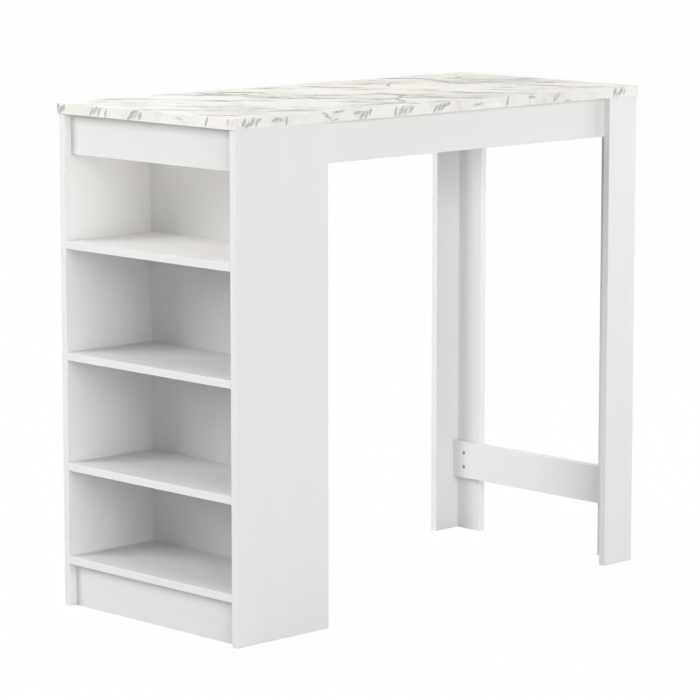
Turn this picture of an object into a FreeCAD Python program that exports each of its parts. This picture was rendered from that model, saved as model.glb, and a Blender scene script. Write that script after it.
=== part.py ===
import FreeCAD, Part
import os

Vector = FreeCAD.Vector

# Bar table: a shelf column carries one end of the top, two L-shaped legs
# tied by a foot rail carry the other end.
# Millimetres, +Z up, +X from the shelf column to the legs, +Y from front to rear,
# origin on the floor below the middle of the top.

# Table top
table_height = 1030
top_length = 1160
top_depth = 530
top_thickness = 22
top_overhang = 3

# Boards and the strips glued to their open edges
board_thickness = 16
edge_band_thickness = 1
edge_round_share = 0.8

# Shelf column
column_width = 245
back_panel_inset = 2
end_board_recess = 17
plinth_height = 88
shelf_names = ("bottom_shelf", "lower_shelf", "middle_shelf", "upper_shelf")
bay_shares = (0.208, 0.2465, 0.2465, 0.299)

# Aprons, legs and foot rail
apron_height = 82
leg_face_width = 86
leg_end_width = 68
foot_rail_height = 82
foot_rail_lift = 120

# Bores for the fasteners
bore_floor = 4
bore_end_gap = 1
fit_gap = 0.1
overrun = 2

# Wooden dowels
dowel_diameter = 8
dowel_length = 30
dowel_chamfer = 1

# Cam fittings: a bolt in one board, drawn tight by a disc in the other
cam_diameter = 15
cam_floor = 3.5
cam_setback = 34
cam_recess_span = 9
cam_recess_width = 2
cam_recess_depth = 2.5
bolt_thread_diameter = 5
bolt_shank_diameter = 7
bolt_neck_diameter = 4
bolt_head_diameter = 7
bolt_head_length = 4

# Countersunk screws
screw_diameter = 4
screw_head_diameter = 8
screw_head_height = 2.8
screw_recess_span = 4.4
screw_recess_width = 1.1
screw_recess_depth = 1.8
screw_pitch = 32

# Places of the fasteners
shelf_cam_inset = 40
fitting_pitch = 32
panel_top_dowel_shares = (0.2, 0.8)
panel_top_cam_shares = (0.5,)
back_cam_shares = (0.1, 0.5, 0.85)
back_dowel_shares = (0.3, 0.7)
back_top_dowel_shares = (0.25, 0.75)
apron_cam_shares = (0.25, 0.75)
apron_dowel_shares = (0.1, 0.5, 0.9)
end_apron_cam_shares = (0.5,)
end_apron_dowel_shares = (0.2, 0.8)
leg_dowel_shares = (0.08, 0.36, 0.64, 0.9)
leg_top_dowel_share = 0.75

# Frame planes
frame_half_length = top_length / 2 - top_overhang
frame_half_depth = top_depth / 2 - top_overhang
frame_left = -frame_half_length
frame_right = frame_half_length
inner_half_depth = frame_half_depth - board_thickness
apron_inner_half_depth = inner_half_depth - board_thickness
top_underside = table_height - top_thickness

# Column planes
column_right = frame_left + column_width
back_panel_right = column_right - back_panel_inset
back_panel_left = back_panel_right - board_thickness
end_board_left = frame_left + end_board_recess
end_board_right = end_board_left + board_thickness

# Apron, leg and rail planes
apron_underside = top_underside - apron_height
apron_middle = top_underside - apron_height / 2
leg_face_left = frame_right - leg_face_width
leg_end_left = frame_right - board_thickness
leg_end_inner_half_depth = inner_half_depth - leg_end_width
rail_left = leg_end_left - board_thickness
rail_middle = foot_rail_lift + foot_rail_height / 2

# Underside of every shelf: the bays above the shelves share the clear height of the column
column_clear_height = top_underside - plinth_height - len(bay_shares) * board_thickness
shelf_undersides = {}
next_underside = plinth_height
for shelf, bay_share in zip(shelf_names, bay_shares):
    shelf_undersides[shelf] = next_underside
    next_underside += board_thickness + bay_share * column_clear_height

# Fastener sizes that follow the boards
edge_round = edge_round_share * edge_band_thickness
face_bore_depth = min(board_thickness, top_thickness) - bore_floor
fastener_face_depth = face_bore_depth - bore_end_gap
dowel_edge_depth = dowel_length - fastener_face_depth
cam_height = board_thickness - cam_floor
cam_radius = cam_diameter / 2
screw_length = 2 * board_thickness - bore_floor

# Outward direction of every side of a board
RIGHT = Vector(1, 0, 0)
REAR = Vector(0, 1, 0)
UP = Vector(0, 0, 1)
LEFT = -RIGHT
FRONT = -REAR
DOWN = -UP
SIDES = {"left": LEFT, "right": RIGHT, "front": FRONT, "rear": REAR, "bottom": DOWN, "top": UP}
FRONT_AND_REAR = {"front": FRONT, "rear": REAR}

boards = {}
cuts = {}
bands = {}
dowels = []
cam_bolts = []
cam_discs = []
screws = []


# Basic shapes

def sorted_corners(corner, opposite):
    low = Vector(min(corner.x, opposite.x), min(corner.y, opposite.y), min(corner.z, opposite.z))
    high = Vector(max(corner.x, opposite.x), max(corner.y, opposite.y), max(corner.z, opposite.z))
    return low, high


def block(corner, opposite):
    low, high = sorted_corners(corner, opposite)
    size = high - low
    return Part.makeBox(size.x, size.y, size.z, low)


def rod(start, direction, length, diameter):
    return Part.makeCylinder(diameter / 2, length, start, direction)


def slot(point, outward, along, length, width, depth):
    """Straight slot sunk into a face at point."""
    reach = along * (length / 2) + outward.cross(along) * (width / 2)
    return block(point - reach, point + reach - outward * depth)


def cross_recess(point, outward, along, length, width, depth):
    across = outward.cross(along)
    return [slot(point, outward, direction, length, width, depth) for direction in (along, across)]


def along_span(start, end, shares):
    return [start + (end - start) * share for share in shares]


# Boards with their edge bands

def rounded_band(strip, outward, round_ends):
    """Edge strip with the arrises of its outer face rounded over."""
    outer_face = max(strip.Faces, key=lambda face: face.CenterOfMass.dot(outward))
    arrises = sorted(outer_face.Edges, key=lambda edge: edge.Length)
    if not round_ends:
        arrises = arrises[2:]
    return strip.makeFillet(edge_round, arrises)


def add_board(name, corner, opposite, banded_sides=(), rounded_end_sides=()):
    """Board of the finished size between two corners; the banded sides end in a glued strip."""
    low, high = sorted_corners(corner, opposite)
    for side in banded_sides:
        outward = SIDES[side]
        span = (high - low).dot(outward)
        core_reach = outward * (abs(span) - edge_band_thickness)
        if span > 0:
            strip = block(low + core_reach, high)
            high -= outward * edge_band_thickness
        else:
            strip = block(low, high + core_reach)
            low -= outward * edge_band_thickness
        bands[f"{name}_{side}_band"] = rounded_band(strip, outward, side in rounded_end_sides)
    boards[name] = block(low, high)
    cuts[name] = []


def add_table_top():
    add_board(
        "table_top",
        Vector(-top_length / 2, -top_depth / 2, top_underside),
        Vector(top_length / 2, top_depth / 2, table_height),
        ("front", "rear", "left", "right"),
        ("front", "rear"),
    )


def add_column():
    for side, outward in FRONT_AND_REAR.items():
        add_board(
            f"{side}_side_panel",
            Vector(frame_left, outward.y * frame_half_depth, 0),
            Vector(column_right, outward.y * inner_half_depth, top_underside),
            ("left", "right"),
        )
    add_board(
        "column_back_panel",
        Vector(back_panel_left, -inner_half_depth, 0),
        Vector(back_panel_right, inner_half_depth, top_underside),
    )
    for name, underside in shelf_undersides.items():
        add_board(
            name,
            Vector(frame_left, -inner_half_depth, underside),
            Vector(back_panel_left, inner_half_depth, underside + board_thickness),
            ("left",),
        )
    add_board(
        "plinth",
        Vector(end_board_left, -inner_half_depth, 0),
        Vector(end_board_right, inner_half_depth, plinth_height),
    )
    add_board(
        "column_end_apron",
        Vector(end_board_left, -inner_half_depth, apron_underside),
        Vector(end_board_right, inner_half_depth, top_underside),
        ("bottom",),
    )


def add_aprons():
    for side, outward in FRONT_AND_REAR.items():
        add_board(
            f"{side}_apron",
            Vector(back_panel_right, outward.y * inner_half_depth, apron_underside),
            Vector(leg_end_left, outward.y * apron_inner_half_depth, top_underside),
            ("bottom",),
        )
    add_board(
        "leg_end_apron",
        Vector(rail_left, -apron_inner_half_depth, apron_underside),
        Vector(leg_end_left, apron_inner_half_depth, top_underside),
        ("bottom",),
    )


def add_legs_and_rail():
    for side, outward in FRONT_AND_REAR.items():
        add_board(
            f"{side}_leg_face_board",
            Vector(leg_face_left, outward.y * frame_half_depth, 0),
            Vector(frame_right, outward.y * inner_half_depth, top_underside),
            ("left", "right"),
        )
        open_side = "rear" if side == "front" else "front"
        add_board(
            f"{side}_leg_end_board",
            Vector(leg_end_left, outward.y * inner_half_depth, 0),
            Vector(frame_right, outward.y * leg_end_inner_half_depth, top_underside),
            (open_side,),
        )
    add_board(
        "foot_rail",
        Vector(rail_left, -inner_half_depth, foot_rail_lift),
        Vector(leg_end_left, inner_half_depth, foot_rail_lift + foot_rail_height),
        ("top", "bottom"),
    )


# Fasteners: each is set at a point where two boards meet, and inward points into the second board

def chamfered_dowel(start, direction):
    dowel = rod(start, direction, dowel_length, dowel_diameter)
    rims = [edge for edge in dowel.Edges if isinstance(edge.Curve, Part.Circle)]
    return dowel.makeChamfer(dowel_chamfer, rims)


def add_dowel(face_board, edge_board, point, inward):
    """Wooden dowel between the face of one board and the edge of the other."""
    dowels.append(chamfered_dowel(point - inward * fastener_face_depth, inward))
    bore_length = face_bore_depth + dowel_edge_depth + bore_end_gap
    bore = rod(point - inward * face_bore_depth, inward, bore_length, dowel_diameter + 2 * fit_gap)
    cuts[face_board].append(bore)
    cuts[edge_board].append(bore)


def cam_bolt(point, inward):
    """Bolt with a thread, a shank, and a head behind a neck."""
    head_start = cam_setback - bolt_head_length / 2
    shank_length = cam_setback - cam_radius
    thread = rod(point - inward * fastener_face_depth, inward, fastener_face_depth, bolt_thread_diameter)
    shank = rod(point, inward, shank_length, bolt_shank_diameter)
    neck = rod(point + inward * shank_length, inward, head_start - shank_length, bolt_neck_diameter)
    head = rod(point + inward * head_start, inward, bolt_head_length, bolt_head_diameter)
    return thread.fuse([shank, neck, head]).removeSplitter()


def cam_disc(axis_point, face_point, inward, disc_side):
    """Disc with a cross recess, open on one side to let the bolt's head in."""
    disc = rod(face_point, -disc_side, cam_height, cam_diameter)
    mouth_length = cam_radius + overrun + bolt_head_length / 2 + fit_gap
    mouth_start = axis_point - inward * (cam_radius + overrun)
    mouth = rod(mouth_start, inward, mouth_length, bolt_head_diameter + 2 * fit_gap)
    recess_size = (cam_recess_span, cam_recess_width, cam_recess_depth)
    return disc.cut([mouth, *cross_recess(face_point, disc_side, inward, *recess_size)])


def add_cam(face_board, edge_board, point, inward, disc_side):
    """Cam fitting: bolt in the face of one board, disc in the other board's side that faces disc_side."""
    axis_point = point + inward * cam_setback
    face_point = axis_point + disc_side * (board_thickness / 2)
    cam_bolts.append(cam_bolt(point, inward))
    cam_discs.append(cam_disc(axis_point, face_point, inward, disc_side))
    thread_bore_diameter = bolt_thread_diameter + 2 * fit_gap
    shank_bore_diameter = bolt_shank_diameter + 2 * fit_gap
    disc_bore_diameter = cam_diameter + 2 * fit_gap
    thread_bore_start = point - inward * face_bore_depth
    disc_bore_start = face_point + disc_side * overrun
    disc_bore_length = cam_height + fit_gap + overrun
    cuts[face_board].append(rod(thread_bore_start, inward, face_bore_depth, thread_bore_diameter))
    cuts[edge_board].append(rod(point, inward, cam_setback, shank_bore_diameter))
    cuts[edge_board].append(rod(disc_bore_start, -disc_side, disc_bore_length, disc_bore_diameter))


def add_screw(carried_board, holding_board, point, inward):
    """Countersunk screw from the open face of one board into the board behind it."""
    tip_start = screw_length - screw_diameter
    head = Part.makeCone(screw_head_diameter / 2, screw_diameter / 2, screw_head_height, point, inward)
    shank_start = point + inward * screw_head_height
    shank = rod(shank_start, inward, tip_start - screw_head_height, screw_diameter)
    tip = Part.makeCone(screw_diameter / 2, 0, screw_diameter, point + inward * tip_start, inward)
    recess = cross_recess(point, -inward, UP, screw_recess_span, screw_recess_width, screw_recess_depth)
    screws.append(head.fuse([shank, tip]).removeSplitter().cut(recess))
    hole_diameter = screw_diameter + 2 * fit_gap
    seat_radius = screw_head_diameter / 2 + fit_gap
    seat = Part.makeCone(seat_radius, hole_diameter / 2, screw_head_height, point, inward)
    hole = rod(point, inward, screw_length, hole_diameter)
    cuts[carried_board] += [seat, hole]
    cuts[holding_board].append(hole)


def fasten_shelves():
    """Two cams and a dowel between them at both ends of every shelf."""
    cam_places = (frame_left + shelf_cam_inset, back_panel_left - shelf_cam_inset)
    dowel_place = (frame_left + back_panel_left) / 2
    for name, underside in shelf_undersides.items():
        middle = underside + board_thickness / 2
        for side, outward in FRONT_AND_REAR.items():
            panel = f"{side}_side_panel"
            inward = -outward
            for place in cam_places:
                add_cam(panel, name, Vector(place, outward.y * inner_half_depth, middle), inward, DOWN)
            add_dowel(panel, name, Vector(dowel_place, outward.y * inner_half_depth, middle), inward)


def fasten_column_ends():
    """A cam above a dowel at both ends of the plinth and of the end apron."""
    middle_x = (end_board_left + end_board_right) / 2
    for board, middle in (("plinth", plinth_height / 2), ("column_end_apron", apron_middle)):
        for side, outward in FRONT_AND_REAR.items():
            panel = f"{side}_side_panel"
            inward = -outward
            cam_point = Vector(middle_x, outward.y * inner_half_depth, middle + fitting_pitch / 2)
            dowel_point = Vector(middle_x, outward.y * inner_half_depth, middle - fitting_pitch / 2)
            add_cam(panel, board, cam_point, inward, RIGHT)
            add_dowel(panel, board, dowel_point, inward)


def fasten_back_panel():
    """Cams and dowels up both sides of the back panel, and a pair for each long apron that ends on it."""
    middle_x = (back_panel_left + back_panel_right) / 2
    for side, outward in FRONT_AND_REAR.items():
        panel = f"{side}_side_panel"
        inward = -outward
        joint_y = outward.y * inner_half_depth
        for height in along_span(0, top_underside, back_cam_shares):
            add_cam(panel, "column_back_panel", Vector(middle_x, joint_y, height), inward, RIGHT)
        for height in along_span(0, top_underside, back_dowel_shares):
            add_dowel(panel, "column_back_panel", Vector(middle_x, joint_y, height), inward)
        middle_y = outward.y * (inner_half_depth + apron_inner_half_depth) / 2
        cam_point = Vector(back_panel_right, middle_y, apron_middle + fitting_pitch / 2)
        dowel_point = Vector(back_panel_right, middle_y, apron_middle - fitting_pitch / 2)
        add_cam("column_back_panel", f"{side}_apron", cam_point, RIGHT, inward)
        add_dowel("column_back_panel", f"{side}_apron", dowel_point, RIGHT)


def fasten_legs():
    """Dowels join the two boards of a leg; screws hold the aprons and the foot rail to the legs."""
    end_board_middle_x = (leg_end_left + frame_right) / 2
    face_screw_x = (leg_face_left + leg_end_left) / 2
    end_screw_half_depth = (inner_half_depth + leg_end_inner_half_depth) / 2
    for side, outward in FRONT_AND_REAR.items():
        face_board = f"{side}_leg_face_board"
        end_board = f"{side}_leg_end_board"
        inward = -outward
        for height in along_span(0, top_underside, leg_dowel_shares):
            dowel_point = Vector(end_board_middle_x, outward.y * inner_half_depth, height)
            add_dowel(face_board, end_board, dowel_point, inward)
        for step in (-screw_pitch / 2, screw_pitch / 2):
            apron_point = Vector(face_screw_x, outward.y * apron_inner_half_depth, apron_middle + step)
            add_screw(f"{side}_apron", face_board, apron_point, -inward)
            end_apron_point = Vector(rail_left, outward.y * end_screw_half_depth, apron_middle + step)
            add_screw("leg_end_apron", end_board, end_apron_point, RIGHT)
            rail_point = Vector(rail_left, outward.y * end_screw_half_depth, rail_middle + step)
            add_screw("foot_rail", end_board, rail_point, RIGHT)


def fasten_top():
    """Cams and dowels between the upper edges of the frame and the underside of the top."""
    for side, outward in FRONT_AND_REAR.items():
        inward = -outward
        panel_y = outward.y * (frame_half_depth + inner_half_depth) / 2
        apron_y = outward.y * (inner_half_depth + apron_inner_half_depth) / 2
        for x in along_span(frame_left, column_right, panel_top_cam_shares):
            add_cam("table_top", f"{side}_side_panel", Vector(x, panel_y, top_underside), DOWN, inward)
        for x in along_span(frame_left, column_right, panel_top_dowel_shares):
            add_dowel("table_top", f"{side}_side_panel", Vector(x, panel_y, top_underside), DOWN)
        for x in along_span(back_panel_right, leg_end_left, apron_cam_shares):
            add_cam("table_top", f"{side}_apron", Vector(x, apron_y, top_underside), DOWN, inward)
        for x in along_span(back_panel_right, leg_end_left, apron_dowel_shares):
            add_dowel("table_top", f"{side}_apron", Vector(x, apron_y, top_underside), DOWN)
        face_x = frame_right - leg_face_width * leg_top_dowel_share
        add_dowel("table_top", f"{side}_leg_face_board", Vector(face_x, panel_y, top_underside), DOWN)
        end_x = (leg_end_left + frame_right) / 2
        end_y = outward.y * (inner_half_depth - leg_end_width * leg_top_dowel_share)
        add_dowel("table_top", f"{side}_leg_end_board", Vector(end_x, end_y, top_underside), DOWN)
    back_x = (back_panel_left + back_panel_right) / 2
    for y in along_span(-inner_half_depth, inner_half_depth, back_top_dowel_shares):
        add_dowel("table_top", "column_back_panel", Vector(back_x, y, top_underside), DOWN)
    cross_boards = (
        ("column_end_apron", (end_board_left + end_board_right) / 2, inner_half_depth, RIGHT),
        ("leg_end_apron", (rail_left + leg_end_left) / 2, apron_inner_half_depth, LEFT),
    )
    for board, x, half_span, disc_side in cross_boards:
        for y in along_span(-half_span, half_span, end_apron_cam_shares):
            add_cam("table_top", board, Vector(x, y, top_underside), DOWN, disc_side)
        for y in along_span(-half_span, half_span, end_apron_dowel_shares):
            add_dowel("table_top", board, Vector(x, y, top_underside), DOWN)


def write_parts():
    os.makedirs("parts", exist_ok=True)
    for name, board in boards.items():
        shape = board.cut(cuts[name]) if cuts[name] else board
        shape.exportStep(f"parts/{name}.step")
    for name, band in bands.items():
        band.exportStep(f"parts/{name}.step")
    groups = {"wood_dowels": dowels, "cam_bolts": cam_bolts, "cam_discs": cam_discs, "board_screws": screws}
    for name, solids in groups.items():
        Part.makeCompound(solids).exportStep(f"parts/{name}.step")


add_table_top()
add_column()
add_aprons()
add_legs_and_rail()
fasten_shelves()
fasten_column_ends()
fasten_back_panel()
fasten_legs()
fasten_top()
write_parts()
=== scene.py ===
from math import atan2, cos, radians, sin

import bpy
from mathutils import Matrix, Vector


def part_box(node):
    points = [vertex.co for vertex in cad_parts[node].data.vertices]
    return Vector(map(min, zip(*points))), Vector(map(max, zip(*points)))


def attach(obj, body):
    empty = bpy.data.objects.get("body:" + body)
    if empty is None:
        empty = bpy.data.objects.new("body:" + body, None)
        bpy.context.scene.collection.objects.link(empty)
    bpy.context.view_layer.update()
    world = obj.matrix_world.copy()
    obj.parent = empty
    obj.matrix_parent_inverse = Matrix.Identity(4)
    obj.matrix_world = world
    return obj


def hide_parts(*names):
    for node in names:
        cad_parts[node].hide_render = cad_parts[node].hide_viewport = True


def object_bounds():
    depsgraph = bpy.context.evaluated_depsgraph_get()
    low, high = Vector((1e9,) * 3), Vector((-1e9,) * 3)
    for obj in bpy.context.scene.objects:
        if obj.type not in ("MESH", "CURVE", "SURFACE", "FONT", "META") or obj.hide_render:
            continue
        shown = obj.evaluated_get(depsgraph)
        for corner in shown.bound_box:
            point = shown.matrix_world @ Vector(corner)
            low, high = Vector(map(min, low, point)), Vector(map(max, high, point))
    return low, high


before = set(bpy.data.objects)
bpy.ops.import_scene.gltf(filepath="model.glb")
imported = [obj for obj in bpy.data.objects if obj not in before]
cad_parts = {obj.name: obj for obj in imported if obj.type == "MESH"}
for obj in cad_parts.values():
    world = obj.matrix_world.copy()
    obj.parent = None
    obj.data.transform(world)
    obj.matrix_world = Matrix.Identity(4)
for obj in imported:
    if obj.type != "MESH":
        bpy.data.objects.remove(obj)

# Bar table with an open shelf column, a marble-look top and two L-shaped legs.
# Metres, in the model's frame: +X from the column to the legs, +Y from front to rear,
# +Z up, with the origin on the floor under the middle of the top.

cad_low, cad_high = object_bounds()
top_low, top_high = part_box("table_top")
top_middle = (top_low + top_high) / 2
mm = 0.001
quarter_turn = radians(90.0)
ORIGIN = (0.0, 0.0, 0.0)
X_AXIS = (1.0, 0.0, 0.0)
Y_AXIS = (0.0, 1.0, 0.0)
Z_AXIS = (0.0, 0.0, 1.0)

# Viewing place: aim point, distance, heading from +Y towards +X, and downward tilt
view_aim = Vector((-0.0115, 0.0073, 0.4951))
view_distance = 7.2065
view_heading = radians(44.173)
view_tilt = radians(8.89)
view_lens = 177.62
view_sensor = 36.0

# Studio: an even dome, five soft boxes, a strip of fill in the top compartment and a pale floor
dome_level = 0.15
backdrop_white = (1.0, 1.0, 1.0, 1.0)
backdrop_level = 1.0
backdrop_share = 0.985
floor_size = 120.0
floor_shade = (0.50, 0.50, 0.50, 1.0)
floor_roughness = 0.9
soft_boxes = {
    # name: place, width, watts
    "front_soft_box": ((-3.0, -7.8, 1.9), 4.6, 480.0),
    "left_soft_box": ((-5.4, 3.8, 4.0), 4.5, 408.0),
    "rear_soft_box": ((1.0, 5.0, 2.5), 4.0, 110.0),
    "right_soft_box": ((3.5, -1.0, 0.9), 2.0, 75.0),
    "overhead_soft_box": ((0.0, 0.0, 5.0), 5.0, 108.0),
}
soft_box_aim = Vector((0.0, 0.0, 0.5))
fill_watts = 0.25
fill_tint = (1.0, 0.95, 0.90)
fill_margin = 0.03
fill_drop = 0.006

# Colours of the finishes, linear
white_print = (0.75, 0.75, 0.747, 1.0)
white_print_streak = (0.738, 0.738, 0.735, 1.0)
white_band = (0.765, 0.765, 0.762, 1.0)
white_band_streak = (0.753, 0.753, 0.750, 1.0)
marble_ground = (0.762, 0.750, 0.703, 1.0)
marble_band_ground = (0.815, 0.810, 0.772, 1.0)
marble_cloud = (0.60, 0.605, 0.57, 1.0)
marble_blush = (0.765, 0.715, 0.665, 1.0)
marble_vein = (0.14, 0.135, 0.125, 1.0)
marble_vein_warm = (0.21, 0.18, 0.145, 1.0)
chip_pale = (0.52, 0.36, 0.20, 1.0)
chip_dark = (0.24, 0.14, 0.07, 1.0)
beech_pale = (0.62, 0.42, 0.24, 1.0)
beech_fleck = (0.40, 0.24, 0.12, 1.0)
zinc_bright = (0.60, 0.61, 0.62, 1.0)
zinc_dull = (0.42, 0.43, 0.44, 1.0)
die_cast_bright = (0.50, 0.50, 0.50, 1.0)
die_cast_dull = (0.32, 0.32, 0.33, 1.0)
dark_steel_face = (0.24, 0.24, 0.245, 1.0)
dark_steel_rubbed = (0.36, 0.36, 0.36, 1.0)

# Roughness of the finishes, before marks and pits
white_print_roughness = 0.46
white_band_roughness = 0.38
marble_roughness = 0.45
marble_band_roughness = 0.42
chip_roughness = 0.85
beech_roughness = 0.6
zinc_roughness = 0.28
die_cast_roughness = 0.38
dark_steel_roughness = 0.42

# Specular level of the finishes, and how metallic the fittings are
plain_gloss = 0.5
white_print_gloss = 0.35
white_band_gloss = 0.4
marble_gloss = 0.15
marble_band_gloss = 0.25
bare_metal = 1.0
blackened_metal = 0.7

# Relief of the finishes: bump strength and depth
board_relief = (0.25, 0.03 * mm)
band_relief = (0.2, 0.02 * mm)
beech_relief = (0.3, 0.05 * mm)
metal_relief = (0.3, 0.02 * mm)
chip_relief_share = 8.0

# Pebbles, streaks and flecks per metre
board_pebbles = 1400.0
band_pebbles = 2000.0
beech_pebbles = 1800.0
streaks_across = 170.0
streaks_along = 3.0
beech_flecks = (180.0, 180.0, 900.0)

# Stone pattern: vein widths in the noise's own values, break and warm scales as shares of the thread scale
noise_middle = 0.5
soft_vein_width = 0.16
main_vein_width = 0.035
hairline_width = 0.028
thread_width = 0.060
thread_share = 0.8
border_share = 0.7
break_scale = 1.6
warm_scale = 0.3
blush_shift = (3.1, 1.7, 0.4)
vein_flow_lean = radians(-40.0)
vein_flow_draw = (2.6, 0.8, 1.0)
vein_core_share = 0.55
vein_tail = 32 * mm
vein_width_share = 0.8
top_stone = {"thread_scale": 34.0, "core_share": 0.98, "hairline_share": 0.60}
band_stone = {"thread_scale": 130.0, "core_share": 0.41, "hairline_share": 0.15}
band_bend = {"Wander": 0.010, "Wander scale": 14.0, "Ragged": 0.004, "Ragged scale": 150.0}
band_ground = {"Ground": marble_band_ground, "Cloud scale": 9.0, "Cloud share": 0.5, "Blush share": 0.4,
               "Vein scale": 9.0, "Hairline scale": 40.0}

# The top's corners in the photograph, in its pixels, from the fitted view
near_corner = Vector((235.3, 121.0))
right_corner = Vector((634.1, 84.6))
far_corner = Vector((458.7, 69.8))
left_corner = Vector((61.4, 102.8))

# Veins of the top as marked on the photograph, in its pixels:
# start x and y, end x and y, thickness, strength
marked_veins = (
    (111, 99.6, 127, 99.6, 1.6, 0.75), (128, 98.9, 149, 99.0, 2.0, 0.35),
    (166, 94.4, 212, 95.4, 1.3, 0.95), (208, 93.8, 222, 94.2, 2.0, 1.00),
    (226, 92.4, 243, 92.1, 1.8, 0.85), (218, 95.2, 236, 95.6, 1.6, 0.50),
    (238, 94.5, 253, 95.4, 1.4, 0.95), (247, 92.6, 264, 92.4, 1.5, 0.65),
    (216, 100.8, 232, 101.0, 2.0, 0.80), (230, 100.7, 246, 100.5, 1.2, 0.45),
    (185, 107.0, 202, 106.8, 1.8, 0.40), (200, 108.6, 224, 107.8, 1.5, 0.35),
    (136, 111.0, 149, 110.9, 1.6, 0.60), (150, 111.6, 192, 110.9, 1.2, 0.50),
    (195, 111.5, 262, 112.5, 1.0, 0.45), (248, 112.6, 300, 112.0, 1.1, 0.60),
    # The stroke from 200, 116.6 to 240, 117.6 draws a dark line just inside the top's left edge, up to its
    # near corner.
    (256, 109.5, 268, 110.0, 1.2, 0.75), (200, 116.6, 240, 117.6, 1.4, 0.50),
    (84, 104.5, 92, 104.5, 1.2, 0.55), (258, 87.6, 270, 87.3, 1.4, 0.55),
    (310, 85.5, 327, 86.2, 1.6, 0.80), (327, 87.0, 356, 86.8, 1.8, 0.40),
    (345, 83.5, 368, 83.8, 1.4, 0.35), (350, 79.9, 384, 79.2, 1.3, 0.35),
    (388, 80.5, 389, 87.0, 6.9, 0.60), (388, 76.9, 410, 76.8, 1.5, 1.00),
    (408, 77.2, 428, 77.6, 1.4, 0.40), (424, 78.2, 456, 81.4, 1.6, 0.70),
    (440, 80.6, 484, 83.0, 1.5, 0.50), (446, 76.4, 458, 75.6, 1.6, 0.70),
    (294, 94.8, 358, 95.4, 1.3, 0.60), (267, 97.2, 298, 98.6, 1.2, 0.85),
    (303, 97.2, 322, 98.2, 1.5, 0.80), (324, 98.6, 344, 98.4, 1.2, 0.80),
    (364, 94.2, 378, 93.8, 1.4, 0.60), (380, 93.0, 398, 94.9, 1.6, 0.95),
    (396, 94.0, 432, 93.8, 1.1, 0.50), (397, 95.0, 398, 102.5, 7.2, 0.70),
    (364, 106.2, 386, 103.8, 1.3, 0.85), (382, 103.6, 402, 103.2, 1.4, 0.95),
    (398, 102.9, 416, 104.2, 1.2, 1.00), (402, 98.6, 444, 98.0, 1.6, 0.45),
    (428, 102.4, 450, 101.6, 1.3, 0.65), (286, 111.3, 297, 111.2, 1.3, 0.80),
    (296, 111.6, 326, 111.9, 1.1, 0.45), (474, 80.3, 514, 80.6, 1.4, 1.00),
    (528, 81.0, 558, 80.7, 1.5, 0.60), (452, 91.8, 494, 92.6, 1.8, 0.75),
    (454, 98.6, 484, 98.2, 1.5, 0.65), (456, 95.5, 486, 95.8, 1.0, 0.40),
    (486, 86.2, 512, 86.5, 1.3, 0.45), (488, 89.3, 524, 89.7, 1.5, 0.45),
    (524, 84.0, 562, 85.2, 1.8, 0.45), (556, 86.2, 602, 86.6, 1.2, 0.50),
    (336, 89.5, 392, 88.5, 1.4, 0.35), (448, 78.6, 470, 78.7, 1.0, 0.40),
)

# Thin veins that join them, drawn on the plan, in millimetres:
# start x and y, end x and y, half width, strength
joining_veins = (
    (-262, 200, -170, 10, 6, 0.60), (-170, 20, -80, -85, 6, 0.55), (-150, 187, -28, 60, 6, 0.55),
    (20, -80, 100, -250, 5, 0.50), (62, 190, 130, 40, 6, 0.55), (120, 50, 224, -188, 6, 0.50),
    (345, 235, 395, 90, 6, 0.55), (385, 100, 457, -150, 6, 0.55), (-440, 240, -300, 60, 6, 0.55),
    (-310, 75, -230, -60, 5, 0.50), (-575, 10, -440, -160, 6, 0.55), (-450, -150, -330, -250, 6, 0.50),
    (380, 80, 575, -120, 6, 0.55), (-540, -120, -470, -255, 5, 0.45), (240, -60, 340, -225, 5, 0.45),
)

# Printed marks of the top's edge bands, a cluster at a time, in millimetres and degrees:
# place along the band, height over its middle, lean, half length, half width, strength
long_band_marks = (
    (-540, 0, 30, 28, 11, 0.26), (-556, 1, 62, 13, 6, 0.75), (-547, -5, 35, 11, 5, 0.55),
    (-533, 2, 56, 14, 6, 0.75), (-523, -1, 68, 12, 5, 0.65), (-516, 5, 40, 9, 4, 0.50),
    (-466, 2, 5, 26, 9, 0.24), (-473, 4, 14, 15, 5, 0.65), (-460, 3, -20, 10, 5, 0.50),
    (-444, 0, 78, 14, 4, 0.85),
    (-340, 3, -30, 26, 6, 0.34), (-308, 8, 0, 24, 5, 0.45), (-316, -7, 4, 18, 4, 0.34),
    (-239, 0, 20, 26, 11, 0.26), (-255, 4, 8, 14, 5, 0.75), (-243, -2, 50, 14, 6, 0.80),
    (-232, -4, 60, 12, 5, 0.75), (-221, 3, 66, 11, 4, 0.65),
    (-126, 0, 25, 34, 11, 0.26), (-150, -1, 72, 13, 5, 0.65), (-134, 0, 58, 14, 6, 0.75),
    (-121, -3, 68, 11, 4, 0.55), (-106, 1, 54, 13, 6, 0.70),
    (-20, 0, 30, 28, 11, 0.26), (-38, -2, 52, 14, 4, 0.85), (-27, 0, 56, 14, 5, 0.75),
    (-14, 2, 42, 14, 6, 0.75), (-2, 5, 26, 11, 5, 0.60),
    (85, 0, 8, 26, 6, 0.32), (176, 0, 74, 14, 4, 0.95),
    (245, 7, -8, 15, 5, 0.70), (238, -3, 85, 11, 4, 0.30),
    (321, 1, 50, 18, 9, 0.24), (315, -3, 80, 12, 4, 0.65), (326, 3, 58, 12, 5, 0.65),
    (352, -8, 8, 20, 4, 0.32),
    (516, 0, 30, 26, 11, 0.26), (503, 1, 64, 14, 6, 0.70), (513, -4, 44, 10, 4, 0.55),
    (523, 2, 58, 14, 6, 0.75), (533, 0, 72, 11, 4, 0.55),
)
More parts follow.
